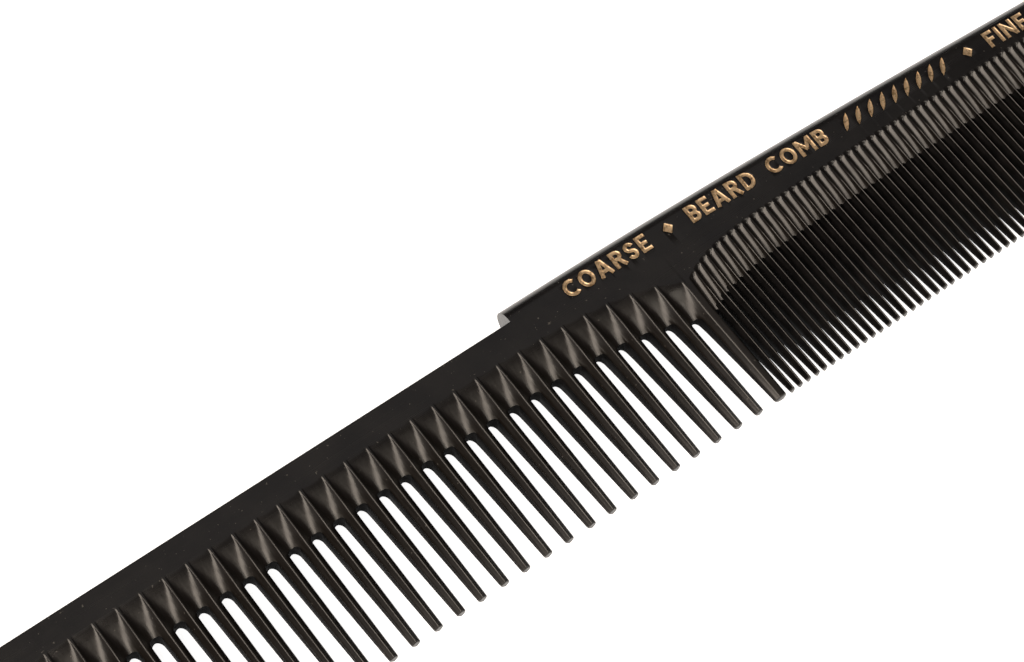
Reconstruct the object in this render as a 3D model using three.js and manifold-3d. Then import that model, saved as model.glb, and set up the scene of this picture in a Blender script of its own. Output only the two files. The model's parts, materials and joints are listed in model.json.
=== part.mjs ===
// Two-section comb: one saw-cut hard-rubber blank with coarse teeth on its left half and fine teeth on
// its right half, and a row of gold stamping foils, each pressed into its own shallow recess in the back.
// Millimetres. The comb lies flat: +X runs towards the fine end, the teeth point to -Y, +Z is up.
import * as THREE from "three";
import { mergeVertices } from "three/addons/utils/BufferGeometryUtils.js";
import { ConvexGeometry } from "three/addons/geometries/ConvexGeometry.js";
import Module from "manifold-3d";

// ---- driving dimensions -------------------------------------------------------------------------

// The blank.
const length = 190;
const height = 27.7; // tooth tips to the rounded back, where the back is highest
const thickness = 4.8;
const tipThickness = 1.3;
const wedgeStart = 10; // from the rounded back down to where the faces start to taper
const guardWidth = 4.5; // least width of the solid tooth at each end
const guardRadius = 2.5;
const endRadius = 6;

// The back: square cut along the coarse end, rounded and falling away towards the fine end.
const stepPlace = 19.5; // left of the middle
const squareBackDrop = 2.4; // from the top of the rounded back down to the square-cut back
const backFall = 4.6;
const backFallLength = 150;

// The teeth.
const coarse = {
  pitch: 3,
  rootGap: 1.55,
  tipGap: 1.9,
  ridge: 0.3,
  lipDepth: 1.25,
  tipBevel: 0.3,
  endSegments: 2,
};
const fine = {
  pitch: 1.22,
  rootGap: 0.5,
  tipGap: 0.56,
  ridge: 0.14,
  lipDepth: 0.95,
  tipBevel: 0.2,
  endSegments: 1,
};
const fineStart = 0.73; // from the last coarse ridge to the first fine ridge, on one thick tooth
const runOutLength = 4.7; // from a ridge's nose down to the closed end of the gap beside it

// The line on which the ridges' noses lie, measured down from the top of the rounded back.
const coarseNoseDrop = 6;
const fineNoseDrop = 7.4;
const middleNoseDrop = 10.05;
const coarseNoseFade = 7;
const fineNoseFade = 4.2;
const fineDipExtra = 0.75; // how far past the middle tooth the first fine noses still dip

// The stamped row.
const letterHeight = 2.3;
const strokeWidth = 0.44;
const letterGap = 0.42;
const stampStart = -12;
const stampBelowBack = 3; // from the rounded back down to the middle of the row
const recessDepth = 0.16;
const foilThickness = 0.08;
const foilClearance = 0.02;

// ---- places that follow from them ---------------------------------------------------------------

const tipY = -height / 2;
const backY = height / 2;
const noseRadius = thickness / 2;
const middleZ = thickness / 2;
const wedgeY = backY - wedgeStart;
const stepX = -stepPlace;
const squareBackY = backY - squareBackDrop;
const clear = 5; // how far a cutter reaches past the solid it cuts

// How far the back has fallen at x: a smooth ease that starts level at the step.
function backDrop(x) {
  const along = Math.max(0, x - stepX) / backFallLength;
  return (backFall * (1 - Math.cos(Math.PI * Math.min(1, along)))) / 2;
}

// The line of the ridges' noses: level on each half, dipping towards the middle tooth.
function noseLine(x) {
  if (x <= 0) {
    return backY - coarseNoseDrop - (middleNoseDrop - coarseNoseDrop) * Math.exp(x / coarseNoseFade);
  }
  const dip = middleNoseDrop + fineDipExtra - fineNoseDrop;
  return backY - fineNoseDrop - dip * Math.exp(-x / fineNoseFade);
}

// Half of the blank's thickness at y: parallel along the back, then a straight taper to the tips.
function halfThickness(y) {
  const t = THREE.MathUtils.clamp((wedgeY - y) / (wedgeY - tipY), 0, 1);
  return THREE.MathUtils.lerp(thickness / 2, tipThickness / 2, t);
}

// ---- solids -------------------------------------------------------------------------------------

const wasm = await Module();
wasm.setup();

// A closed three.js geometry as a solid that can be joined and cut.
function solid(geometry) {
  geometry.deleteAttribute("normal");
  geometry.deleteAttribute("uv");
  const merged = mergeVertices(geometry, 1e-4);
  const vertProperties = new Float32Array(merged.attributes.position.array);
  const triVerts = new Uint32Array(merged.index.array);
  return new wasm.Manifold(new wasm.Mesh({ numProp: 3, vertProperties, triVerts }));
}

function geometryOf(body) {
  const mesh = body.getMesh();
  const geometry = new THREE.BufferGeometry();
  geometry.setAttribute("position", new THREE.BufferAttribute(new Float32Array(mesh.vertProperties), 3));
  geometry.setIndex(new THREE.BufferAttribute(new Uint32Array(mesh.triVerts), 1));
  const flat = geometry.toNonIndexed();
  flat.computeVertexNormals();
  return flat;
}

function joinAll(bodies) {
  return wasm.Manifold.union(bodies);
}

// A flat outline raised from z0 to z1; an arc in it gets twice curveSegments straight pieces.
function raise(shape, z0, z1, curveSegments) {
  const geometry = new THREE.ExtrudeGeometry(shape, {
    depth: z1 - z0,
    bevelEnabled: false,
    curveSegments,
  });
  return geometry.translate(0, 0, z0);
}

// ---- the blank ----------------------------------------------------------------------------------

// The cross-section, carried along the length; its rounded back then follows the falling back line.
function profileSolid() {
  const section = new THREE.Shape();
  section.moveTo(tipY, middleZ - tipThickness / 2);
  section.lineTo(wedgeY, 0);
  section.lineTo(backY - noseRadius, 0);
  section.absarc(backY - noseRadius, middleZ, noseRadius, -Math.PI / 2, Math.PI / 2, false);
  section.lineTo(wedgeY, thickness);
  section.lineTo(tipY, middleZ + tipThickness / 2);
  section.closePath();
  const profile = new THREE.ExtrudeGeometry(section, {
    depth: length,
    steps: 16,
    bevelEnabled: false,
    curveSegments: 5,
  });
  // Turn the section's own x, y and depth into the comb's Y, Z and X.
  const turn = new THREE.Matrix4().makeBasis(
    new THREE.Vector3(0, 1, 0),
    new THREE.Vector3(0, 0, 1),
    new THREE.Vector3(1, 0, 0),
  );
  profile.applyMatrix4(turn).translate(-length / 2, 0, 0);
  const place = profile.attributes.position;
  for (let i = 0; i < place.count; i += 1) {
    if (place.getY(i) > wedgeY + 1) {
      place.setY(i, place.getY(i) - backDrop(place.getX(i)));
    }
  }
  return solid(profile);
}

// The comb's outline seen from above, without its gaps.
function outlineSolid() {
  const left = -length / 2;
  const right = length / 2;
  const rightBackY = backY - backDrop(right);
  const outline = new THREE.Shape();
  outline.moveTo(left, tipY + guardRadius);
  outline.absarc(left + guardRadius, tipY + guardRadius, guardRadius, Math.PI, 1.5 * Math.PI, false);
  outline.absarc(right - guardRadius, tipY + guardRadius, guardRadius, -Math.PI / 2, 0, false);
  outline.absarc(right - endRadius, rightBackY - endRadius, endRadius, 0, Math.PI / 2, false);
  outline.lineTo(right - endRadius, backY + clear);
  outline.lineTo(stepX, backY + clear);
  outline.lineTo(stepX, squareBackY);
  outline.absarc(left + endRadius, squareBackY - endRadius, endRadius, Math.PI / 2, Math.PI, false);
  outline.closePath();
  return solid(raise(outline, -clear, thickness + clear, 3));
}

// ---- the gaps between the teeth -----------------------------------------------------------------

// A through-cut with a round closed end, widening towards the tips.
function gapSolid(kind, middleX, endY) {
  const rootHalf = kind.rootGap / 2;
  const tipHalf = kind.tipGap / 2;
  const cut = new THREE.Shape();
  cut.moveTo(middleX - tipHalf, tipY - clear);
  cut.lineTo(middleX + tipHalf, tipY - clear);
  cut.lineTo(middleX + tipHalf, tipY);
  cut.absarc(middleX, endY - rootHalf, rootHalf, 0, Math.PI, false);
  cut.lineTo(middleX - tipHalf, tipY);
  cut.closePath();
  return solid(raise(cut, -clear, thickness + clear, kind.endSegments));
}

// Two points at one y, left and right of a middle line, at a height measured from the blank's middle
// plane: upwards for side 1, downwards for side -1.
function mirrored(middleX, halfWidth, y, heightFromMiddle, side) {
  const z = middleZ + side * heightFromMiddle;
  return [-halfWidth, halfWidth].map((dx) => new THREE.Vector3(middleX + dx, y, z));
}

// The run-out above a gap's closed end: its floor starts level with the face between two ridge noses
// and slopes down to the gap's lip, between walls that rise to the two ridges.
function runOutSolid(kind, leftX, rightX, endY, side) {
  const middleX = (leftX + rightX) / 2;
  const ridgeHalf = (rightX - leftX - kind.ridge) / 2;
  const leftY = noseLine(leftX);
  const rightY = noseLine(rightX);
  const above = thickness / 2 + clear;
  const lip = thickness / 2 - kind.lipDepth;
  const points = [
    new THREE.Vector3(middleX - ridgeHalf, leftY, middleZ + side * halfThickness(leftY)),
    new THREE.Vector3(middleX + ridgeHalf, rightY, middleZ + side * halfThickness(rightY)),
    new THREE.Vector3(middleX - ridgeHalf, leftY, middleZ + side * above),
    new THREE.Vector3(middleX + ridgeHalf, rightY, middleZ + side * above),
    ...mirrored(middleX, ridgeHalf, endY, above, side),
    ...mirrored(middleX, ridgeHalf, endY, halfThickness(endY), side),
    ...mirrored(middleX, kind.rootGap / 2, endY, lip, side),
  ];
  return solid(new ConvexGeometry(points));
}

// The bevels from the ridges down to the gap's walls, along the rest of the two teeth.
function bevelSolid(kind, leftX, rightX, endY, side) {
  const middleX = (leftX + rightX) / 2;
  const ridgeHalf = (rightX - leftX - kind.ridge) / 2;
  const above = thickness / 2 + clear;
  const lip = thickness / 2 - kind.lipDepth;
  const tipEdge = tipThickness / 2 - kind.tipBevel;
  const points = [
    ...mirrored(middleX, ridgeHalf, endY, above, side),
    ...mirrored(middleX, ridgeHalf, endY, halfThickness(endY), side),
    ...mirrored(middleX, kind.rootGap / 2, endY, lip, side),
    ...mirrored(middleX, ridgeHalf, tipY, above, side),
    ...mirrored(middleX, ridgeHalf, tipY, tipThickness / 2, side),
    ...mirrored(middleX, kind.tipGap / 2, tipY, tipEdge, side),
  ];
  return solid(new ConvexGeometry(points));
}

function gapCutters(kind, leftX, rightX) {
  const middleX = (leftX + rightX) / 2;
  const endY = (noseLine(leftX) + noseLine(rightX)) / 2 - runOutLength;
  const cutters = [gapSolid(kind, middleX, endY)];
  for (const side of [1, -1]) {
    cutters.push(runOutSolid(kind, leftX, rightX, endY, side));
    cutters.push(bevelSolid(kind, leftX, rightX, endY, side));
  }
  return cutters;
}

// Every gap, from the middle tooth outwards, as far as leaves a solid guard tooth at each end.
function toothCutters() {
  const room = length / 2 - guardWidth;
  const cutters = [];
  for (let x = 0; x - coarse.pitch >= -room; x -= coarse.pitch) {
    cutters.push(...gapCutters(coarse, x - coarse.pitch, x));
  }
  for (let x = fineStart; x + fine.pitch <= room; x += fine.pitch) {
    cutters.push(...gapCutters(fine, x, x + fine.pitch));
  }
  return cutters;
}

// ---- the stamped row ----------------------------------------------------------------------------

// A straight stroke between two points, in letter heights; grow widens it all round, in millimetres.
function bar(x0, y0, x1, y1) {
  return (grow) => {
    const from = new THREE.Vector2(x0, y0).multiplyScalar(letterHeight);
    const to = new THREE.Vector2(x1, y1).multiplyScalar(letterHeight);
    const along = to.clone().sub(from).normalize();
    const across = new THREE.Vector2(-along.y, along.x).multiplyScalar(strokeWidth / 2 + grow);
    from.addScaledVector(along, -grow);
    to.addScaledVector(along, grow);
    const corners = [
      from.clone().sub(across),
      to.clone().sub(across),
      to.clone().add(across),
      from.clone().add(across),
    ];
    return new THREE.Shape(corners);
  };
}

// A curved stroke along part of a circle or ellipse, from one angle to another in degrees.
function bow(cx, cy, rx, ry, fromDegrees, toDegrees) {
  return (grow) => {
    const start = THREE.MathUtils.degToRad(fromDegrees);
    const end = THREE.MathUtils.degToRad(toDegrees);
    const x = cx * letterHeight;
    const y = cy * letterHeight;
    const half = strokeWidth / 2 + grow;
    const shape = new THREE.Shape();
    shape.absellipse(x, y, rx * letterHeight + half, ry * letterHeight + half, start, end, false);
    shape.absellipse(x, y, rx * letterHeight - half, ry * letterHeight - half, end, start, true);
    shape.closePath();
    return shape;
  };
}

// A pointed leaf from one point to another, with its sides bowed out by `belly`, in letter heights.
function leaf(x0, y0, x1, y1, belly) {
  return (grow) => {
    const from = new THREE.Vector2(x0, y0).multiplyScalar(letterHeight);
    const to = new THREE.Vector2(x1, y1).multiplyScalar(letterHeight);
    const along = to.clone().sub(from).normalize();
    const across = new THREE.Vector2(-along.y, along.x).multiplyScalar(2 * (belly * letterHeight + grow));
    from.addScaledVector(along, -grow);
    to.addScaledVector(along, grow);
    const middle = from.clone().lerp(to, 0.5);
    const shape = new THREE.Shape();
    shape.moveTo(from.x, from.y);
    shape.quadraticCurveTo(middle.x - across.x, middle.y - across.y, to.x, to.y);
    shape.quadraticCurveTo(middle.x + across.x, middle.y + across.y, from.x, from.y);
    return shape;
  };
}

// A diamond about the middle of the row's height.
function lozenge(halfWidth, halfHeight) {
  return (grow) => {
    const w = halfWidth * letterHeight + grow;
    const h = halfHeight * letterHeight + grow;
    const x = halfWidth * letterHeight;
    const y = letterHeight / 2;
    const corners = [[x - w, y], [x, y - h], [x + w, y], [x, y + h]];
    return new THREE.Shape(corners.map(([cx, cy]) => new THREE.Vector2(cx, cy)));
  };
}

const half = strokeWidth / letterHeight / 2; // half a stroke, in letter heights
const low = half;
const high = 1 - half;
const bowl = (1 - 2 * half) / 4; // radius of the bowls of B, R and S, to the middle of the stroke

// Each mark's width and strokes, in letter heights, from its left edge and the row's lower edge.
const marks = {
  A: {
    width: 0.82,
    strokes: [bar(0.1, 0, 0.37, 1), bar(0.45, 1, 0.72, 0), bar(0.2, 0.3, 0.62, 0.3)],
  },
  B: {
    width: 0.64,
    strokes: [
      bar(half, 0, half, 1),
      bar(half, low, 0.34, low),
      bar(half, 0.5, 0.34, 0.5),
      bar(half, high, 0.34, high),
      bow(0.34, high - bowl, bowl, bowl, -90, 90),
      bow(0.34, low + bowl, bowl, bowl, -90, 90),
    ],
  },
  C: { width: 0.76, strokes: [bow(0.44, 0.5, 0.36, 0.5 - half, 48, 312)] },
  D: {
    width: 0.74,
    strokes: [
      bar(half, 0, half, 1),
      bar(half, low, 0.3, low),
      bar(half, high, 0.3, high),
      bow(0.3, 0.5, 0.36, 0.5 - half, -90, 90),
    ],
  },
  E: {
    width: 0.58,
    strokes: [
      bar(half, 0, half, 1),
      bar(half, low, 0.58, low),
      bar(half, 0.5, 0.5, 0.5),
      bar(half, high, 0.58, high),
    ],
  },
  F: {
    width: 0.56,
    strokes: [bar(half, 0, half, 1), bar(half, 0.5, 0.48, 0.5), bar(half, high, 0.56, high)],
  },
  I: { width: 2 * half, strokes: [bar(half, 0, half, 1)] },
  M: {
    width: 0.96,
    strokes: [
      bar(half, 0, half, 1),
      bar(0.96 - half, 0, 0.96 - half, 1),
      bar(half + 0.02, 0.95, 0.5, 0.3),
      bar(0.94 - half, 0.95, 0.46, 0.3),
    ],
  },
  N: {
    width: 0.76,
    strokes: [
      bar(half, 0, half, 1),
      bar(0.76 - half, 0, 0.76 - half, 1),
      bar(half + 0.01, 0.93, 0.75 - half, 0.07),
    ],
  },
  O: {
    width: 0.86,
    strokes: [
      bow(0.43, 0.5, 0.43 - half, 0.5 - half, -90, 90),
      bow(0.43, 0.5, 0.43 - half, 0.5 - half, 90, 270),
    ],
  },
  R: {
    width: 0.68,
    strokes: [
      bar(half, 0, half, 1),
      bar(half, 0.5, 0.34, 0.5),
      bar(half, high, 0.34, high),
      bow(0.34, high - bowl, bowl, bowl, -90, 90),
      bar(0.34, 0.5, 0.6, 0),
    ],
  },
  S: {
    width: 0.62,
    strokes: [
      bow(0.31, high - bowl, bowl, bowl, 15, 270),
      bow(0.31, low + bowl, bowl, bowl, -165, 90),
    ],
  },
  leaf: { width: 0.62, strokes: [leaf(0.02, 0.02, 0.6, 0.98, 0.13)] },
  lozenge: { width: 0.6, strokes: [lozenge(0.3, 0.34)] },
};

// The row, left to right: what is stamped, and the space after it in letter heights.
const row = [
  { word: "coarse", after: 0.8 },
  { ornament: "lozenge", count: 1, after: 0.8 },
  { word: "beard", after: 0.75 },
  { word: "comb", after: 0.9 },
  { ornament: "leaf", count: 9, after: 0.9 },
  { ornament: "lozenge", count: 1, after: 0.8 },
  { word: "fine", after: 0 },
];

// Every mark of the row with its node's name and the place of its left edge.
function layOutRow() {
  const places = [];
  const counts = {};
  let x = stampStart;
  for (const item of row) {
    const glyphs = item.word ? [...item.word] : Array(item.count).fill(item.ornament);
    for (const glyph of glyphs) {
      counts[glyph] = (counts[glyph] ?? 0) + 1;
      const name = item.word ? `foil_${item.word}_${glyph}` : `foil_${glyph}_${counts[glyph]}`;
      const mark = marks[item.word ? glyph.toUpperCase() : glyph];
      places.push({ name, mark, x });
      x += mark.width * letterHeight + letterGap;
    }
    x += item.after * letterHeight;
  }
  return places;
}

// A mark's solid between two heights, on the line of the falling back and turned to follow it.
function markSolid({ mark, x }, grow, z0, z1) {
  const body = joinAll(mark.strokes.map((stroke) => solid(raise(stroke(grow), z0, z1, 5))));
  const geometry = geometryOf(body);
  const middleX = x + (mark.width * letterHeight) / 2;
  const slope = backDrop(middleX + 1) - backDrop(middleX);
  geometry.translate((-mark.width * letterHeight) / 2, -letterHeight / 2, 0);
  geometry.rotateZ(-Math.atan(slope));
  geometry.translate(middleX, backY - stampBelowBack - backDrop(middleX), 0);
  return solid(geometry);
}

// ---- the comb -----------------------------------------------------------------------------------

const hardRubber = new THREE.MeshStandardMaterial({ color: 0x1b1918, roughness: 0.32, metalness: 0 });
const goldFoil = new THREE.MeshStandardMaterial({ color: 0xd8ae78, roughness: 0.38, metalness: 1 });

function addMesh(group, name, body, material) {
  const mesh = new THREE.Mesh(geometryOf(body), material);
  mesh.name = name;
  group.add(mesh);
}

const comb = new THREE.Group();
const stamps = layOutRow();
const faceZ = thickness;
const recesses = stamps.map((stamp) => markSolid(stamp, foilClearance, faceZ - recessDepth, faceZ + clear));
const blank = profileSolid().intersect(outlineSolid());
const combBody = blank.subtract(joinAll(toothCutters())).subtract(joinAll(recesses));
addMesh(comb, "comb_body", combBody, hardRubber);

const foils = new THREE.Group();
for (const stamp of stamps) {
  const bottom = faceZ - recessDepth;
  addMesh(foils, stamp.name, markSolid(stamp, 0, bottom, bottom + foilThickness), goldFoil);
}
comb.add(foils);

export default comb;
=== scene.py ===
import json
from math import pi, radians

import bpy
import numpy as np
from mathutils import Matrix, Vector

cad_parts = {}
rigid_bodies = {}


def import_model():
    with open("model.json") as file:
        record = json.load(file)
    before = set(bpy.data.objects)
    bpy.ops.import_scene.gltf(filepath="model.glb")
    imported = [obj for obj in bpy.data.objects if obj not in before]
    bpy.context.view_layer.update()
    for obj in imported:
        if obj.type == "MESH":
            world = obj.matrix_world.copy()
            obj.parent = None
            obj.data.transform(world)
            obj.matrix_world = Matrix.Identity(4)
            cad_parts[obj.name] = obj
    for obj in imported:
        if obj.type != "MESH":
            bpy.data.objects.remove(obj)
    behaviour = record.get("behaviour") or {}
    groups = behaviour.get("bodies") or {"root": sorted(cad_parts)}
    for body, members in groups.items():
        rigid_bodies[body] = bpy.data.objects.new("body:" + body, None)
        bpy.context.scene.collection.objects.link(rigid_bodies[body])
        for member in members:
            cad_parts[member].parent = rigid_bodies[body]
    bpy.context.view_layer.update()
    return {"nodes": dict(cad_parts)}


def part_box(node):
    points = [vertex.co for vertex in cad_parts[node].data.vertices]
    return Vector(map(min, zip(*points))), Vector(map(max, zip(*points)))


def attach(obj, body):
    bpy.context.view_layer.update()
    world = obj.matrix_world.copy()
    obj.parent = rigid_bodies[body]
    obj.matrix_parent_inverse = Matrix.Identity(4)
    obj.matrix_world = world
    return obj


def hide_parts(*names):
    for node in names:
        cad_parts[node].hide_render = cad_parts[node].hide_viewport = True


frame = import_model()

# Places and sizes of the comb are worked out in millimetres, and become metres in the mesh.
MM = 0.001

# ---- the comb's driving sizes, in millimetres ---------------------------------------------------

low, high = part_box("comb_body")
HALF_LENGTH = high.x / MM
TIP_Y = low.y / MM
BACK_Y = -TIP_Y
THICKNESS = high.z / MM
MIDDLE_Z = THICKNESS / 2
NOSE_RADIUS = THICKNESS / 2
TIP_THICKNESS = 1.3
WEDGE_Y = BACK_Y - 10.0
END_RADIUS = 6.0
END_ROUNDING = 1.4
END_THINNEST = 0.3
GUARD_WIDTH = 4.5
GUARD_PLAIN = 3.9
GUARD_RADIUS = 2.5
STEP_X = -19.5
SQUARE_BACK_Y = BACK_Y - 2.4
SQUARE_EDGE = 0.28
BACK_FALL = 4.6
BACK_FALL_LENGTH = 150.0
FINE_START = 0.73
RUN_OUT = 4.7

# The moat beside each coarse nub: its depth, the widths over which it starts and fades, all as shares
# of half a cell, and its length as a share of the run-out. A nub starts this far above its line, and
# its moat takes a short way to reach its depth.
NUB_MOAT = 0.08
MOAT_START = 0.06
MOAT_WIDTH = 0.3
MOAT_LENGTH = 0.4
NUB_RISE = 0.15
NUB_LENGTH = 0.5

# The rounding of the ridges' tops, which is whole where the groove is as deep as CROWN_DEPTH, and the
# rounding of the slots' edges, which is whole after EDGE_LENGTH.
CROWN = 0.08
CROWN_DEPTH = 0.35
EDGE_ROUND = 0.07
EDGE_LENGTH = 0.5

# The fine grooves' vee: where its lowest line lies, from -1 to 1 across the groove, its curvature, and
# the share of the run-out over which it starts.
VEE_PLACE = -0.1
VEE_CURVE = 1.35
VEE_START = 0.1

# The teeth's bevel: the power of its section, and the share of a tooth over which it takes over from
# the groove. The tips lean to the fine end. The last of a tip thins to one share and loses another of
# its width, over a length in corner radii, or in millimetres on a guard.
BEVEL_POWER = 1.6
BEVEL_START = 0.25
LEAN = 0.42
TIP_THINNEST = 0.86
TIP_NARROWING = 0.05
TIP_ROUNDING = 1.5
GUARD_TIP_THINNEST = 0.35
GUARD_TIP_ROUNDING = 1.2

# The second half of a run-out is all ground surface, and the first half fades into the polished face.
GROUND_START = 0.5

# The least room between groups of rows: under the back's edge, above the nubs, and the heights of the
# plain face and of the run-outs.
BACK_ROOM = 0.15
NUB_ROOM = 0.1
LEAST_FACE = 0.3
LEAST_RUN = 1.0

# Each kind of tooth. Sizes: the pitch, the gap at the root and at the tip, the flat on the ridge, the
# groove's depth at the lip, how much of that is a vee, the depth of the tooth's edges at the tip, how
# far a tip wanders sideways, and the rounding of a tip's corners. Shape of the groove: the power with
# which it deepens, the slope beside the ridge and the highest power of its section. Mesh: where the
# columns stand on a tooth, from its ridge, and the steps round a gap's closed end.
COARSE = dict(
    pitch=3.0, root_gap=1.55, tip_gap=1.9, ridge=0.3, lip=1.45, vee=0.0, tip_bevel=0.36,
    wander=0.05, end_radius=0.06, growth=1.4, slope=1.3, power=10,
    columns=[0, 0.1, 0.15, 0.22, 0.32, 0.45, 0.59, 0.725], gap_steps=12,
)
FINE = dict(
    pitch=1.22, root_gap=0.5, tip_gap=0.56, ridge=0.12, lip=0.95, vee=0.36, tip_bevel=0.42,
    wander=0.04, end_radius=0.05, growth=1.15, slope=13.0, power=16,
    columns=[0, 0.06, 0.1, 0.16, 0.26, 0.36], gap_steps=6,
)

# The line on which the ridges' noses lie, measured down from the top of the rounded back.
COARSE_NOSE = 6.0
FINE_NOSE = 7.4
MIDDLE_NOSE = 10.05
FINE_DIP = 0.75
COARSE_FADE = 7.0
FINE_FADE = 4.2

rng = np.random.default_rng(7)


def back_drop(x):
    """How far the back has fallen at x: half a cosine wave that starts level at the step."""
    along = np.clip((x - STEP_X) / BACK_FALL_LENGTH, 0, 1)
    return BACK_FALL * (1 - np.cos(pi * along)) / 2


def nose_line(x):
    """The y where a ridge at x starts: level on each half, dipping exponentially at the middle tooth."""
    left = COARSE_NOSE + (MIDDLE_NOSE - COARSE_NOSE) * np.exp(np.minimum(x, 0) / COARSE_FADE)
    dip = MIDDLE_NOSE + FINE_DIP - FINE_NOSE
    right = FINE_NOSE + dip * np.exp(-np.maximum(x, 0) / FINE_FADE)
    return BACK_Y - np.where(x <= 0, left, right)


def corner(distance, radius):
    """How far a round corner has cut in, at a distance from the end: the rest of a circle's arc."""
    d = np.clip(distance, 0, radius)
    return radius - np.sqrt(radius**2 - (radius - d) ** 2)


def half_thickness(y):
    """Parallel along the back, then a straight taper down to the tips."""
    t = np.clip((WEDGE_Y - y) / (WEDGE_Y - TIP_Y), 0, 1)
    return (THICKNESS * (1 - t) + TIP_THICKNESS * t) / 2


# ---- columns: the x places that every row of the comb's surface shares --------------------------

def ridge_places():
    """The ridges' x places on the coarse half and on the fine half, from left to right."""
    room = HALF_LENGTH - GUARD_WIDTH
    coarse_count = int(room / COARSE["pitch"] + 1e-6)
    fine_count = int((room - FINE_START) / FINE["pitch"] + 1e-6)
    coarse = -COARSE["pitch"] * np.arange(coarse_count, -1, -1)
    fine = FINE_START + FINE["pitch"] * np.arange(fine_count + 1)
    return coarse, fine


# The columns round the comb's ends: how many degrees of the corner they follow, and their number.
END_SWEEP = 58
END_COLUMNS = 11


def lay_out_teeth():
    """A list of teeth: the kind of gap on each side, the first and last ridge, and the columns.

    A guard's columns stand close together round its rounded end and cross its plain middle in one
    step."""
    coarse, fine = ridge_places()
    end = END_RADIUS * (1 - np.cos(np.radians(np.linspace(0, END_SWEEP, END_COLUMNS))))
    inner = HALF_LENGTH - GUARD_PLAIN
    wide = np.array(COARSE["columns"])
    thin = np.array(FINE["columns"])
    left_guard = np.concatenate([end - HALF_LENGTH, [-inner], coarse[0] + wide])
    right_guard = np.concatenate([fine[-1] - thin[::-1], [inner], (HALF_LENGTH - end)[::-1]])
    right_guard = np.unique(np.round(right_guard[right_guard >= fine[-1] - thin[-1]], 4))
    middle = np.concatenate([-wide[::-1], np.linspace(0, FINE_START, 6)[1:-1], FINE_START + thin])
    teeth = [(None, COARSE, coarse[0], coarse[0], left_guard)]
    both_ways = np.concatenate([-wide[:0:-1], wide])
    teeth += [(COARSE, COARSE, x, x, x + both_ways) for x in coarse[1:-1]]
    teeth += [(COARSE, FINE, 0.0, FINE_START, middle)]
    both_ways = np.concatenate([-thin[:0:-1], thin])
    teeth += [(FINE, FINE, x, x, x + both_ways) for x in fine[1:-1]]
    teeth += [(FINE, None, fine[-1], fine[-1], right_guard)]
    return teeth


def lay_out_columns():
    """Per column, from left to right: x, its tooth (-1 in a gap), and the facts of its tooth or gap.

    A gap's columns stand at equal angles round its closed end. Every column carries the middle of the
    nearest gap and that gap's half cell, for the groove's cross-section, and the y of the last row
    before the teeth part: on the closed end's half circle in a gap, and straight across a tooth."""
    teeth = lay_out_teeth()
    out = {}

    def gap_facts(a, b):
        """A gap's kind, its middle, half its cell, half its width at the root and the y of its lip."""
        kind = a[1]
        centre = (a[3] + b[2]) / 2
        end_y = float(nose_line(np.float64(a[3])) + nose_line(np.float64(b[2]))) / 2 - RUN_OUT
        return kind, centre, (b[2] - a[3] - kind["ridge"]) / 2, kind["root_gap"] / 2, end_y

    gaps = [gap_facts(a, b) for a, b in zip(teeth[:-1], teeth[1:])]

    def add(x, tooth, gap, last, share, moves, middle, radius, guard):
        """Adds columns at x, with their facts."""
        kind, centre, half, wall, _ = gap
        facts = {key: kind[key] for key in ("lip", "vee", "growth", "slope", "power", "tip_bevel")}
        facts.update(
            x=x, tooth=tooth, centre=centre, half=half, wall=wall / half, flat=kind["ridge"] / 2,
            last=last, share=share, left_move=moves[0], right_move=moves[1],
            middle=middle, radius=radius, fine=float(kind is FINE), guard=guard,
        )
        for key, value in facts.items():
            out.setdefault(key, []).append(np.broadcast_to(np.asarray(value, float), len(x)))

    for i, (left, right, ridge_a, ridge_b, x) in enumerate(teeth):
        gap_a = gaps[i - 1] if i else gaps[0]
        gap_b = gaps[i] if i < len(gaps) else gaps[-1]
        y_a = gap_a[4] - gap_a[3]
        y_b = gap_b[4] - gap_b[3]
        if left is None:
            y_a = y_b
        if right is None:
            y_b = y_a
        share = (x - x[0]) / (x[-1] - x[0])
        moves = (
            (left["tip_gap"] - left["root_gap"]) / 2 if left else 0.0,
            (right["tip_gap"] - right["root_gap"]) / 2 if right else 0.0,
        )
        last = y_a + (y_b - y_a) * share
        ridge = (ridge_a + ridge_b) / 2
        radius = (left or right)["end_radius"]
        guard = float(left is None or right is None)
        sides = (x <= ridge, gap_a if left else gap_b), (x > ridge, gap_b if right else gap_a)
        for here, gap in sides:
            middle = (x[0] + x[-1]) / 2
            add(x[here], i, gap, last[here], share[here], moves, middle, radius, guard)
        if i < len(gaps):
            kind, centre, half, wall, end_y = gap_b
            angle = np.linspace(pi, 0, kind["gap_steps"] + 1)[1:-1]
            round_y = end_y - wall + wall * np.sin(angle)
            add(centre + wall * np.cos(angle), -1, gap_b, round_y, 0.5, (0, 0), centre, 1.0, 0.0)
    columns = {key: np.concatenate(parts) for key, parts in out.items()}
    step = int(np.argmin(np.abs(columns["x"] - STEP_X)))
    repeat = np.sort(np.append(np.arange(len(columns["x"])), step))
    return {key: part[repeat] for key, part in columns.items()}, step


# ---- the comb's surface -------------------------------------------------------------------------

# Rows: steps round the back's edge, of which the square back spends some on its upright part, then
# the shares of the way down the plain face, the run-outs and the teeth. The back uses every sixth
# column only.
NOSE_STEPS = 8
UPRIGHT_STEPS = 3
NOSE_ANGLES = np.radians(np.linspace(0, 90, NOSE_STEPS + 1))
FLAT_ROWS = np.array([0, 0.5])
RUN_ROWS = np.array([0, 0.03, 0.06, 0.095, 0.14, 0.2, 0.28, 0.38, 0.5, 0.62, 0.75, 0.88, 1.0])
TOOTH_ROWS = np.array([0.06, 0.17, 0.32, 0.5, 0.7, 0.88, 0.985, 0.994, 1.0])
NOSE_COLUMN_STEP = 6


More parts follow.
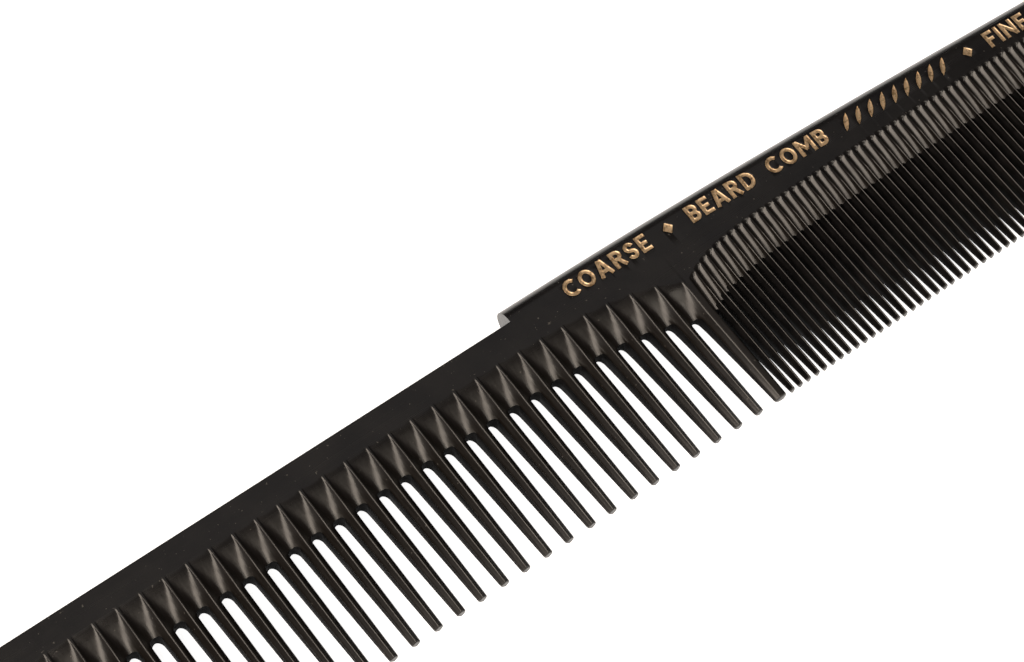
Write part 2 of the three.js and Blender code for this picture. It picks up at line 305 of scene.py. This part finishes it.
def groove_depth(c, x, y, nose):
    """Depth of the ground groove below the face, and how far along the run-out it is.

    Across a cell the groove is depth * (1 - |u|^n), with u from 0 in the middle of the gap to 1 at the
    ridge's edge, plus a curved vee on the fine half. The depth grows as a power of the distance from
    the nub line to the lip, then shrinks to the tooth's bevel at the tip. n keeps the slope beside the
    ridge the same, so a shallow groove has a flat floor and a deep one is round. A shallow moat, which
    fades exponentially away from the ridge, sets off each coarse nub. The ridge's top is a parabola."""
    across = (x - c["centre"]) / c["half"]
    from_middle = np.abs(x - c["centre"])
    u = np.clip(from_middle / c["half"], 0, 1)
    lip_y = nose - RUN_OUT
    t = np.clip((nose - y) / RUN_OUT, 0, 1)
    down = np.clip((lip_y - y) / (lip_y - TIP_Y), 0, 1)
    bevelled = np.clip(down / BEVEL_START, 0, 1)

    edge_depth = c["tip_bevel"] / (1 - c["wall"] ** BEVEL_POWER)
    deep = (c["lip"] - c["vee"]) * t ** c["growth"] * (1 - down) + edge_depth * down
    steepest = c["slope"] * c["half"] / np.maximum(deep, 1e-3)
    n = np.clip(steepest, BEVEL_POWER, c["power"]) * (1 - bevelled) + BEVEL_POWER * bevelled

    hat = np.minimum((1 - across) / (1 - VEE_PLACE), (1 + across) / (1 + VEE_PLACE))
    hat = 1 - (1 - np.clip(hat, 0, 1)) ** VEE_CURVE
    vee = c["vee"] * np.sqrt(np.clip(t / VEE_START, 0, 1)) * (1 - bevelled) * hat

    beside = np.maximum(c["half"] - from_middle, 0) / c["half"]
    near_nub = np.clip((nose + NUB_RISE - y) / NUB_LENGTH, 0, 1) * np.clip(1 - t / MOAT_LENGTH, 0, 1)
    moat = np.exp(-beside / MOAT_WIDTH) * np.clip(beside / MOAT_START, 0, 1)
    moat = NUB_MOAT * c["half"] * near_nub * moat * (1 - c["fine"])

    crest = np.clip((from_middle - c["half"]) / c["flat"], 0, 1)
    wide = 2 * c["flat"] / COARSE["ridge"]
    crown = CROWN * wide * (1 - crest) ** 2 * np.clip(deep / CROWN_DEPTH, 0, 1)
    return deep * (1 - u**n) + vee + moat + crown, t


def back_rows(x, side, cut_in):
    """Y and Z round the back's edge: a half round to the right of the step, square to its left."""
    steps = np.arange(NOSE_STEPS + 1)[:, None]
    arc = 1 - np.cos(NOSE_ANGLES)[:, None]
    arc_y = BACK_Y - NOSE_RADIUS * arc - back_drop(x) - cut_in
    arc_z = NOSE_RADIUS * np.sin(NOSE_ANGLES)[:, None] + 0 * x
    rise = np.clip(steps / UPRIGHT_STEPS, 0, 1) * (NOSE_RADIUS - SQUARE_EDGE)
    turn = np.clip((steps - UPRIGHT_STEPS) / (NOSE_STEPS - UPRIGHT_STEPS), 0, 1) * pi / 2
    square_y = SQUARE_BACK_Y - SQUARE_EDGE * (1 - np.cos(turn)) - cut_in
    square_z = rise + SQUARE_EDGE * np.sin(turn) + 0 * x
    return np.where(side, arc_y, square_y), np.where(side, arc_z, square_z)


def comb_rows(c, step):
    """X, Y, Z and the share of ground surface on the upper half, from the back down to the tips."""
    x0, share = c["x"], c["share"]
    guard = c["guard"] > 0
    distance = HALF_LENGTH - np.abs(x0)
    cut_in = corner(distance, END_RADIUS)
    nose_y, nose_z = back_rows(x0, np.arange(len(x0)) > step, cut_in)

    # Where the rows stand: a plain strip, the run-outs with the nubs, and the teeth down to the tips.
    nose = nose_line(x0)
    back_edge = np.minimum(BACK_Y - NOSE_RADIUS - back_drop(x0), SQUARE_BACK_Y - SQUARE_EDGE)
    flat_top = back_edge - cut_in - BACK_ROOM
    run_top = np.minimum(nose + NUB_RISE + NUB_ROOM, flat_top - LEAST_FACE)
    last = np.minimum(c["last"], run_top - LEAST_RUN)
    from_side = np.abs(2 * share - 1)
    tip_in = np.where(guard, corner(distance, GUARD_RADIUS), 0)
    tip_y = TIP_Y + np.maximum(tip_in, c["radius"] * from_side**3)
    y = np.concatenate([
        nose_y,
        flat_top + (run_top - flat_top) * FLAT_ROWS[:, None],
        run_top + (last - run_top) * RUN_ROWS[:, None],
        last + (tip_y - last) * TOOTH_ROWS[:, None],
    ])

    # Half the thickness, less the groove and the rounding of the slots' edges.
    groove, t = groove_depth(c, x0, y, nose)
    at_side = np.where(c["tooth"] >= 0, np.clip(from_side * 8 - 7, 0, 1), 0)
    slot_side = np.where(guard, np.where(x0 < 0, share > 0.5, share < 0.5), 1)
    below_slot = np.clip((last - y) / EDGE_LENGTH, 0, 1)
    edge_round = EDGE_ROUND * (at_side * slot_side) ** 2 * below_slot
    z = half_thickness(y) - groove - edge_round

    # The tips and the ends are rounded off by a quarter of an ellipse.
    rounding = np.where(guard, GUARD_TIP_ROUNDING, c["radius"] * TIP_ROUNDING)
    to_tip = np.clip((y - tip_y) / rounding, 0, 1)
    blunt = np.sqrt(1 - (1 - to_tip) ** 2)
    thinnest = np.where(guard, GUARD_TIP_THINNEST, TIP_THINNEST)
    z = z * (thinnest + (1 - thinnest) * blunt)
    z[:NOSE_STEPS + 1] = nose_z
    to_end = np.clip(distance / END_ROUNDING, 0, 1)
    z = z * (END_THINNEST + (1 - END_THINNEST) * np.sqrt(1 - (1 - to_end) ** 2))

    # Below the run-outs a tooth narrows, leans and strays, and its tip narrows a little more.
    taper = np.clip((last - y) / (last - TIP_Y), 0, 1)
    teeth_rows = np.arange(len(y)) > NOSE_STEPS + len(FLAT_ROWS) + len(RUN_ROWS)
    shift = taper * (c["left_move"] * (1 - share) - c["right_move"] * share)
    tooth = c["tooth"].astype(int)
    wander = np.where(c["fine"] > 0, FINE["wander"], COARSE["wander"])
    wander = rng.normal(0, 1, tooth.max() + 1)[tooth] * wander
    shift = shift + taper**2 * wander * (1 - c["guard"])
    shift = shift + taper * LEAN * np.where(guard, np.where(x0 < 0, share, 1 - share), 1)
    narrow = (1 - blunt) * TIP_NARROWING * (1 - c["guard"])
    x = x0 + np.where(teeth_rows[:, None], shift - (x0 - c["middle"]) * narrow, 0)
    return x, y, z, np.clip(t / GROUND_START, 0, 1)


def comb_faces(c, step, rows):
    """Quads over the grid of rows and columns, above and below, and the walls that close them.

    The back needs fewer columns than the grooves. Its rows use only the columns in `few`, and fans of
    triangles in the flat face join them to the rest."""
    count = len(c["x"])
    index = np.arange(rows * count).reshape(rows, count)
    index[NOSE_STEPS + 1:, step + 1] = index[NOSE_STEPS + 1:, step]
    under = index + rows * count
    under[0] = index[0]
    same = (c["tooth"][1:] == c["tooth"][:-1]) & (c["tooth"][1:] >= 0)
    last = NOSE_STEPS + len(FLAT_ROWS) + len(RUN_ROWS)
    keep = (np.arange(rows - 1) < last)[:, None] | same[None, :]
    column = np.arange(count)
    at_step = (column == step) | (column == step + 1)
    few = np.flatnonzero((c["guard"] > 0) | (column % NOSE_COLUMN_STEP == 0) | at_step)
    middle = (few[:-1] + few[1:] + 1) // 2
    owner = few[np.searchsorted(middle, column[:-1], side="right")]
    quads = []
    for g, way in ((index, 1), (under, -1)):
        back, face = g[:NOSE_STEPS + 1, few], g[NOSE_STEPS + 1:]
        for part, wanted in ((back, slice(None)), (face, keep[NOSE_STEPS + 1:])):
            cells = np.stack([part[:-1, :-1], part[1:, :-1], part[1:, 1:], part[:-1, 1:]], -1)
            quads.append(cells[wanted].reshape(-1, 4)[:, ::way])
        edge = g[NOSE_STEPS]
        fans = np.stack([edge[owner], face[0, :-1], face[0, 1:], face[0, 1:]], -1)
        links = np.stack([edge[few[:-1]], face[0, middle], edge[few[1:]], edge[few[1:]]], -1)
        quads.append(np.concatenate([fans, links])[:, ::way])

    def wall(top, bottom):
        """Quads between two lines of vertices; the solid lies to the left of the upper line."""
        quads.append(np.stack([top[:-1], bottom[:-1], bottom[1:], top[1:]], -1))

    wall(index[:, 0], under[:, 0])
    wall(index[::-1, -1], under[::-1, -1])
    open_right = np.flatnonzero((c["tooth"][:-1] >= 0) & (c["tooth"][1:] < 0))
    open_left = np.flatnonzero((c["tooth"][:-1] < 0) & (c["tooth"][1:] >= 0)) + 1
    for right_side in open_right:
        wall(index[last:, right_side][::-1], under[last:, right_side][::-1])
    for left_side in open_left:
        wall(index[last:, left_side], under[last:, left_side])
    for row, columns in ((last, np.flatnonzero(~same)), (-1, np.flatnonzero(same))):
        top, bottom = index[row], under[row]
        across = [top[columns], bottom[columns], bottom[columns + 1], top[columns + 1]]
        quads.append(np.stack(across, -1))
    return np.concatenate([q.reshape(-1, 4) for q in quads])


def make_mesh(name, vertices, polygons, attributes=None):
    """A mesh object from arrays in millimetres, without repeated corners and unused vertices."""
    polygons = np.asarray(polygons)
    doubled = polygons == np.roll(polygons, 1, axis=1)
    full = polygons[doubled.sum(1) == 0]
    odd = polygons[doubled.sum(1) == 1]
    odd = odd[~(odd == np.roll(odd, 1, axis=1))].reshape(-1, polygons.shape[1] - 1)
    used, compact = np.unique(np.concatenate([full.ravel(), odd.ravel()]), return_inverse=True)
    corners = compact.astype(np.int32)
    sizes = np.concatenate([np.full(len(full), full.shape[1]), np.full(len(odd), odd.shape[1])])
    mesh = bpy.data.meshes.new(name)
    mesh.vertices.add(len(used))
    mesh.vertices.foreach_set("co", (vertices[used] * MM).astype(np.float32).ravel())
    mesh.loops.add(len(corners))
    mesh.loops.foreach_set("vertex_index", corners)
    mesh.polygons.add(len(sizes))
    mesh.polygons.foreach_set("loop_start", (np.cumsum(sizes) - sizes).astype(np.int32))
    for key, values in (attributes or {}).items():
        layer = mesh.attributes.new(key, "FLOAT", "POINT")
        layer.data.foreach_set("value", values[used].astype(np.float32))
    mesh.update(calc_edges=True)
    mesh.validate()
    obj = bpy.data.objects.new(name, mesh)
    bpy.context.scene.collection.objects.link(obj)
    return obj


def smooth_shade(obj, degrees):
    """Shades an object smooth, apart from the edges that turn by more than an angle."""
    obj.data.shade_smooth()
    obj.data.set_sharp_from_angle(angle=radians(degrees))


def make_comb():
    """The comb's surface over a grid: columns along the length, rows from the back down to the tips.

    The lower half mirrors the upper one about the middle plane."""
    c, step = lay_out_columns()
    x, y, z, cut = comb_rows(c, step)
    rows = len(y)
    upper = np.stack([x, y, MIDDLE_Z + z], -1).reshape(-1, 3)
    lower = np.stack([x, y, MIDDLE_Z - z], -1).reshape(-1, 3)
    places = np.concatenate([upper, lower])
    return make_mesh("comb", places, comb_faces(c, step, rows), {"cut": np.tile(cut.ravel(), 2)})


# Where the saw's matt surface, darkened as painted shade between the teeth, shows: how far below the
# ridges' line it starts, and how much of a face's normal may point up or down. It ends a little way from
# the tips.
COARSE_SAWN_SHADE = dict(start=3.5, steep=0.3)
FINE_SAWN_SHADE = dict(start=RUN_OUT, steep=0.85)
SAWN_SHADE_END = 0.4


def mark_sawn_shade_walls(comb):
    """Gives the second material, matt and darkened as painted shade, to the gaps' walls: steep faces
    below the run-outs, clear of the tips.

    On the fine half that takes in the teeth's flanks, which it paints dark as shade between the teeth."""
    count = len(comb.data.polygons)
    normal = np.empty(count * 3, np.float32)
    centre = np.empty(count * 3, np.float32)
    comb.data.polygons.foreach_get("normal", normal)
    comb.data.polygons.foreach_get("center", centre)
    normal, centre = normal.reshape(-1, 3), centre.reshape(-1, 3) / MM
    x, y = centre[:, 0], centre[:, 1]
    inside = np.abs(x) < HALF_LENGTH - GUARD_WIDTH / 2
    start = np.where(x > FINE_START, FINE_SAWN_SHADE["start"], COARSE_SAWN_SHADE["start"])
    below = (y < nose_line(x) - start) & (y > TIP_Y + SAWN_SHADE_END)
    steep = np.where(x > FINE_START, FINE_SAWN_SHADE["steep"], COARSE_SAWN_SHADE["steep"])
    # These faces get the darkened matt material: painted shade between the teeth.
    sawn_shade_faces = (np.abs(normal[:, 2]) < steep) & inside & below
    comb.data.polygons.foreach_set("material_index", sawn_shade_faces.astype(np.int32))
    comb.data.update()


# ---- the stamped row ----------------------------------------------------------------------------

def outline_of(node):
    """A foil's outline from above: points, triangles, the edges' ends and the points' outward steps.

    A step is the sum of the outward normals of the two edges at a point, scaled so that moving every
    point by it moves each edge outwards by one millimetre; at sharp points it's limited."""
    mesh = frame["nodes"][node].data
    mesh.calc_loop_triangles()
    place = np.empty(len(mesh.vertices) * 3, np.float32)
    mesh.vertices.foreach_get("co", place)
    place = place.reshape(-1, 3).astype(float) / MM
    triangles = np.empty(len(mesh.loop_triangles) * 3, np.int32)
    mesh.loop_triangles.foreach_get("vertices", triangles)
    triangles = triangles.reshape(-1, 3)
    top = place[:, 2].max()
    triangles = triangles[(place[triangles][:, :, 2] > top - 1e-3).all(1)]
    spots, same = np.unique(np.round(place[:, :2], 4), axis=0, return_inverse=True)
    triangles = same.ravel()[triangles]
    used, triangles = np.unique(triangles, return_inverse=True)
    triangles = triangles.reshape(-1, 3)
    points = spots[used]
    start = triangles.ravel()
    end = np.roll(triangles, -1, axis=1).ravel()
    outer = ~np.isin(start * len(points) + end, end * len(points) + start)
    start, end = start[outer], end[outer]
    along = points[end] - points[start]
    normal = np.stack([along[:, 1], -along[:, 0]], -1)
    normal /= np.linalg.norm(normal, axis=1)[:, None]
    total = np.zeros_like(points)
    np.add.at(total, start, normal)
    np.add.at(total, end, normal)
    square = np.maximum((total**2).sum(1), 0.5)[:, None]
    return points, triangles, start, end, total * 2 / square


def ringed(name, node, rings, attribute=None):
    """A closed solid on a foil's outline: rings of (outward offset, height), capped at both ends."""
    points, triangles, start, end, step = outline_of(node)
    n = len(points)
    vertices = [
        np.column_stack([points + step * offset, np.full(n, height)]) for offset, height in rings
    ]
    sides = [
        np.stack([start + k * n, end + k * n, end + (k + 1) * n, start + (k + 1) * n], -1)
        for k in range(len(rings) - 1)
    ]
    caps = np.concatenate([triangles[:, ::-1], triangles + (len(rings) - 1) * n])
    caps = np.column_stack([caps, caps[:, 2]])
    values = {attribute: np.repeat(np.linspace(0, 1, len(rings)), n)} if attribute else None
    return make_mesh(name, np.concatenate(vertices), np.concatenate([*sides, caps]), values)


foil_nodes = sorted(n for n in frame["nodes"] if n.startswith("foil_"))
RECESS_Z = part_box(foil_nodes[0])[0].z / MM
FACE_Z = THICKNESS


def press_marks(comb):
    """Cuts every mark's recess into the face, a little larger than its foil and flared at the rim."""
    rings = [
        (0.025, RECESS_Z),
        (0.03, FACE_Z - 0.06),
        (0.055, FACE_Z - 0.015),
        (0.1, FACE_Z + 0.01),
        (0.1, FACE_Z + 0.5),
    ]
    cutters = bpy.data.collections.new("cutters")
    for node in foil_nodes:
        cutter = ringed("cutter_" + node, node, rings)
        bpy.context.scene.collection.objects.unlink(cutter)
        cutters.objects.link(cutter)
    cut = comb.modifiers.new("recesses", "BOOLEAN")
    cut.operation = "DIFFERENCE"
    cut.operand_type = "COLLECTION"
    cut.collection = cutters
    cut.solver = "MANIFOLD"
    bpy.context.scene.collection.children.link(cutters)
    evaluated = comb.evaluated_get(bpy.context.evaluated_depsgraph_get())
    pressed = bpy.data.meshes.new_from_object(evaluated)
    comb.modifiers.clear()
    comb.data = pressed
    for cutter in list(cutters.objects):
        bpy.data.objects.remove(cutter)
    bpy.data.collections.remove(cutters)


def make_foil(node):
    """A foil pressed into its recess: a flat middle, turned up to a thin rim along the recess wall."""
    rings = [
        (0.01, RECESS_Z),
        (0.015, FACE_Z - 0.02),
        (-0.02, FACE_Z - 0.012),
        (-0.055, FACE_Z - 0.05),
        (-0.09, FACE_Z - 0.075),
        (-0.12, FACE_Z - 0.08),
    ]
    return ringed(node.replace("foil_", "stamp_"), node, rings, "rise")


# ---- materials ----------------------------------------------------------------------------------

def new_material(name):
    """A material with its nodes, links and shader."""
    material = bpy.data.materials.new(name)
    material.use_nodes = True
    nodes = material.node_tree.nodes
    return material, nodes, material.node_tree.links, nodes["Principled BSDF"]


def node(nodes, kind, **values):
    """A shader node with some of its inputs or settings set."""
    made = nodes.new("ShaderNode" + kind)
    for key, value in values.items():
        if hasattr(made, key):
            setattr(made, key, value)
        else:
            made.inputs[key.replace("_", " ")].default_value = value
    return made


def ramp(nodes, links, source, x0, x1, y0=0.0, y1=1.0):
    """y0 below x0, y1 above x1, straight between them."""
    made = node(nodes, "MapRange", clamp=True)
    for key, value in zip(("From Min", "From Max", "To Min", "To Max"), (x0, x1, y0, y1)):
        made.inputs[key].default_value = value
    links.new(source, made.inputs["Value"])
    return made.outputs["Result"]


def new_group(name, inputs, outputs):
    """A shader node group with named sockets: the group, its nodes and links, and its two ends."""
    group = bpy.data.node_groups.new(name, "ShaderNodeTree")
    for direction, sockets in (("INPUT", inputs), ("OUTPUT", outputs)):
        for socket, kind in sockets.items():
            group.interface.new_socket(socket, in_out=direction, socket_type="NodeSocket" + kind)
    start = group.nodes.new("NodeGroupInput")
    end = group.nodes.new("NodeGroupOutput")
    return group, group.nodes, group.links, start.outputs, end.inputs


def grain_group():
    """Noise in object space, drawn out along the axes by a stretch."""
    inputs = {"Scale": "Float", "Stretch": "Vector", "Detail": "Float", "Roughness": "Float"}
    group, nodes, links, start, end = new_group("grain", inputs, {"Value": "Float"})
    place = node(nodes, "TexCoord")
    stretched = node(nodes, "VectorMath", operation="MULTIPLY")
    noise = node(nodes, "TexNoise")
    links.new(place.outputs["Object"], stretched.inputs[0])
    links.new(start["Stretch"], stretched.inputs[1])
    links.new(stretched.outputs["Vector"], noise.inputs["Vector"])
    for key in ("Scale", "Detail", "Roughness"):
        links.new(start[key], noise.inputs[key])
    links.new(noise.outputs["Fac"], end["Value"])
    return group


def dust_group():
    """Lays pale specks of dust over a colour; the specks also dull the surface."""
    inputs = {"Color": "Color", "Roughness": "Float", "Scale": "Float", "Amount": "Float"}
    outputs = {"Color": "Color", "Roughness": "Float"}
    group, nodes, links, start, end = new_group("dust", inputs, outputs)
    place = node(nodes, "TexCoord")
    specks = node(nodes, "TexNoise", Detail=1.0)
    mask = node(nodes, "Math", operation="MULTIPLY")
    color = node(nodes, "Mix", data_type="RGBA")
    gloss = node(nodes, "Mix", data_type="FLOAT")
    links.new(place.outputs["Object"], specks.inputs["Vector"])
    links.new(start["Scale"], specks.inputs["Scale"])
    links.new(ramp(nodes, links, specks.outputs["Fac"], 0.74, 0.8), mask.inputs[0])
    links.new(start["Amount"], mask.inputs[1])
    links.new(mask.outputs["Value"], color.inputs["Factor"])
    links.new(mask.outputs["Value"], gloss.inputs["Factor"])
    links.new(start["Color"], color.inputs["A"])
    links.new(start["Roughness"], gloss.inputs["A"])
    color.inputs["B"].default_value = (0.3, 0.28, 0.25, 1)
    gloss.inputs["B"].default_value = 0.85
    links.new(color.outputs["Result"], end["Color"])
    links.new(gloss.outputs["Result"], end["Roughness"])
    return group


def grain(nodes, scale, stretch, detail=3.0, roughness=0.5):
    """A grain group placed in a material with its own values; gives its output."""
    made = nodes.new("ShaderNodeGroup")
    made.node_tree = GRAIN
    made.inputs["Scale"].default_value = scale
    made.inputs["Stretch"].default_value = stretch
    made.inputs["Detail"].default_value = detail
    made.inputs["Roughness"].default_value = roughness
    return made.outputs["Value"]


def dusted(nodes, links, color, roughness, shader, scale, amount):
    """A dust group between a material's colour and roughness and its shader."""
    made = nodes.new("ShaderNodeGroup")
    made.node_tree = DUST
    made.inputs["Scale"].default_value = scale
    made.inputs["Amount"].default_value = amount
    links.new(color, made.inputs["Color"])
    links.new(roughness, made.inputs["Roughness"])
    links.new(made.outputs["Color"], shader.inputs["Base Color"])
    links.new(made.outputs["Roughness"], shader.inputs["Roughness"])


GRAIN = grain_group()
DUST = dust_group()


def rubber_material():
    """Polished vulcanised rubber: near black, brown where it was ground, finely scratched and dusty."""
    material, nodes, links, shader = new_material("hard_rubber")
    cut = node(nodes, "Attribute", attribute_name="cut").outputs["Fac"]
    cloud = grain(nodes, 220, (1, 1, 1))
    scratch = grain(nodes, 900, (0.06, 1.6, 1), 4.0, 0.6)
    grind = grain(nodes, 2500, (1, 0.12, 1), 2.0)
    face = node(nodes, "Mix", data_type="RGBA")
    face.inputs["A"].default_value = (0.0042, 0.0036, 0.0036, 1)
    face.inputs["B"].default_value = (0.0075, 0.0066, 0.0062, 1)
    links.new(ramp(nodes, links, cloud, 0.35, 0.65), face.inputs["Factor"])
    tint = node(nodes, "Mix", data_type="RGBA")
    tint.inputs["B"].default_value = (0.0065, 0.005, 0.0038, 1)
    links.new(ramp(nodes, links, cut, 0, 1, 0, 0.8), tint.inputs["Factor"])
    links.new(face.outputs["Result"], tint.inputs["A"])
    polish = ramp(nodes, links, scratch, 0.3, 0.7, 0.2, 0.3)
    ground = ramp(nodes, links, grind, 0.3, 0.7, 0.3, 0.42)
    gloss = node(nodes, "Mix", data_type="FLOAT")
    links.new(cut, gloss.inputs["Factor"])
    links.new(polish, gloss.inputs["A"])
    links.new(ground, gloss.inputs["B"])
    dusted(nodes, links, tint.outputs["Result"], gloss.outputs["Result"], shader, 2400, 0.15)
    height = node(nodes, "Mix", data_type="FLOAT")
    links.new(cut, height.inputs["Factor"])
    links.new(scratch, height.inputs["A"])
    links.new(grind, height.inputs["B"])
    bump = node(nodes, "Bump", Strength=0.12, Distance=0.00002)
    links.new(height.outputs["Result"], bump.inputs["Height"])
    links.new(bump.outputs["Normal"], shader.inputs["Normal"])
    shader.inputs["IOR"].default_value = 1.52
    return material


def sawn_shade_material():
    """The gaps' saw-cut walls: the same rubber left matt, with fine lines along the saw's path, darkened
    as painted shade.
    """
    material, nodes, links, shader = new_material("sawn_rubber_painted_shade")
    lines = grain(nodes, 1800, (1, 0.15, 1), 3.0)
    cloud = grain(nodes, 500, (1, 1, 1), 3.0)
    color = node(nodes, "Mix", data_type="RGBA")
    # Darker than the polished face: painted shade for the walls between the teeth.
    color.inputs["A"].default_value = (0.003, 0.0029, 0.003, 1)
    color.inputs["B"].default_value = (0.0065, 0.006, 0.006, 1)
    links.new(ramp(nodes, links, cloud, 0.35, 0.65), color.inputs["Factor"])
    links.new(color.outputs["Result"], shader.inputs["Base Color"])
    links.new(ramp(nodes, links, lines, 0.3, 0.7, 0.5, 0.7), shader.inputs["Roughness"])
    bump = node(nodes, "Bump", Strength=0.25, Distance=0.00003)
    links.new(lines, bump.inputs["Height"])
    links.new(bump.outputs["Normal"], shader.inputs["Normal"])
    # Almost no reflection, so the walls stay dark: painted shade between the teeth.
    shader.inputs["Specular IOR Level"].default_value = 0.02
    return material


def gold_material():
    """Hot-stamped gold foil: patchy, worn to brown in places, brighter along its turned-up rim."""
    material, nodes, links, shader = new_material("gold_foil")
    worn = grain(nodes, 1500, (1, 1, 1), 4.0, 0.65)
    fine = grain(nodes, 6000, (1, 1, 1), 2.0)
    color = node(nodes, "Mix", data_type="RGBA")
    color.inputs["A"].default_value = (0.32, 0.21, 0.115, 1)
    color.inputs["B"].default_value = (0.82, 0.61, 0.38, 1)
    links.new(ramp(nodes, links, worn, 0.38, 0.52), color.inputs["Factor"])
    links.new(ramp(nodes, links, worn, 0.3, 0.55, 0.75, 1.0), shader.inputs["Metallic"])
    gloss = ramp(nodes, links, fine, 0.3, 0.7, 0.35, 0.6)
    dusted(nodes, links, color.outputs["Result"], gloss, shader, 1400, 0.5)
    bump = node(nodes, "Bump", Strength=0.5, Distance=0.00002)
    links.new(fine, bump.inputs["Height"])
    links.new(bump.outputs["Normal"], shader.inputs["Normal"])
    return material


def plain_material(name, color, roughness, glow=0.0):
    """A material of one colour, which may also glow white."""
    material, nodes, links, shader = new_material(name)
    shader.inputs["Base Color"].default_value = (*color, 1)
    shader.inputs["Roughness"].default_value = roughness
    shader.inputs["Emission Color"].default_value = (1, 1, 1, 1)
    shader.inputs["Emission Strength"].default_value = glow
    return material


# ---- the comb and its foils ---------------------------------------------------------------------

rubber = rubber_material()
sawn_shade = sawn_shade_material()
gold = gold_material()

comb = make_comb()
press_marks(comb)
smooth_shade(comb, 46)
comb.data.materials.clear()
comb.data.materials.append(rubber)
# The second material paints the shade between the teeth onto the gaps' walls and fine flanks.
comb.data.materials.append(sawn_shade)
mark_sawn_shade_walls(comb)
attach(comb, "root")
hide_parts("comb_body")

for name in foil_nodes:
    foil = make_foil(name)
    smooth_shade(foil, 60)
    foil.data.materials.append(gold)
    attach(foil, "root")
    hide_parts(name)

# ---- the floor, the light and the camera --------------------------------------------------------

def make_floor():
    """A flat white sheet under the comb, far larger than the view."""
    size = 900.0
    corners = np.array([[-1, -1, 0], [1, -1, 0], [1, 1, 0], [-1, 1, 0]]) * size
    floor = make_mesh("floor", corners + [0, 0, -0.02], [[0, 1, 2, 3]])
    floor.data.materials.append(plain_material("white_sheet", (0.7, 0.7, 0.7), 0.9, 0.9))


def softbox(name, direction, distance, width, height, strength, color):
    """An area light shining from a direction at the middle of the comb, its width along X."""
    light = bpy.data.lights.new(name, "AREA")
    light.shape = "RECTANGLE"
    light.size, light.size_y = width, height
    light.energy = strength * width * height * pi
    light.color = color
    lamp = bpy.data.objects.new(name, light)
    way = Vector(direction).normalized()
    lamp.location = way * distance
    across = Vector((1, 0, 0)) if abs(way.x) < 0.9 else Vector((0, 1, 0))
    across = (across - way * across.dot(way)).normalized()
    lamp.rotation_mode = "QUATERNION"
    lamp.rotation_quaternion = Matrix((across, way.cross(across), way)).transposed().to_quaternion()
    bpy.context.scene.collection.objects.link(lamp)
    return lamp


def make_camera():
    """The camera stands above the coarse end, nearer the teeth, and looks down past the middle."""
    lens = bpy.data.cameras.new("camera")
    lens.lens = 91.86
    lens.sensor_width = 36.0
    lens.clip_start, lens.clip_end = 0.01, 10
    camera = bpy.data.objects.new("camera", lens)
    right = Vector((0.80486, -0.59308, 0.02148))
    up = Vector((0.51465, 0.71553, 0.47239))
    back = Vector((-0.29553, -0.36915, 0.88113))
    turn = Matrix((right, up, back)).transposed()
    camera.matrix_world = Matrix.Translation(Vector((-108.75, -100.55, 269.24)) * MM) @ turn.to_4x4()
    bpy.context.scene.collection.objects.link(camera)
    bpy.context.scene.camera = camera


make_floor()
softbox("key", (-0.6, -0.15, 0.78), 1.0, 0.8, 1.1, 6.0, (1.0, 0.87, 0.74))
softbox("front", (0.12, -0.5, 0.85), 1.0, 0.5, 0.24, 5.0, (1.0, 0.9, 0.77))
softbox("ceiling", (0.15, 0.45, 0.88), 1.0, 0.7, 0.8, 0.28, (1.0, 0.96, 0.94))
softbox("side", (-0.95, 0.12, 0.3), 1.2, 1.0, 0.5, 0.22, (0.98, 0.95, 1.0))
make_camera()

world = bpy.data.worlds.new("room")
world.use_nodes = True
world.node_tree.nodes["Background"].inputs["Color"].default_value = (0.9, 0.93, 1.0, 1)
world.node_tree.nodes["Background"].inputs["Strength"].default_value = 0.05
bpy.context.scene.world = world
bpy.context.scene.view_settings.view_transform = "Standard"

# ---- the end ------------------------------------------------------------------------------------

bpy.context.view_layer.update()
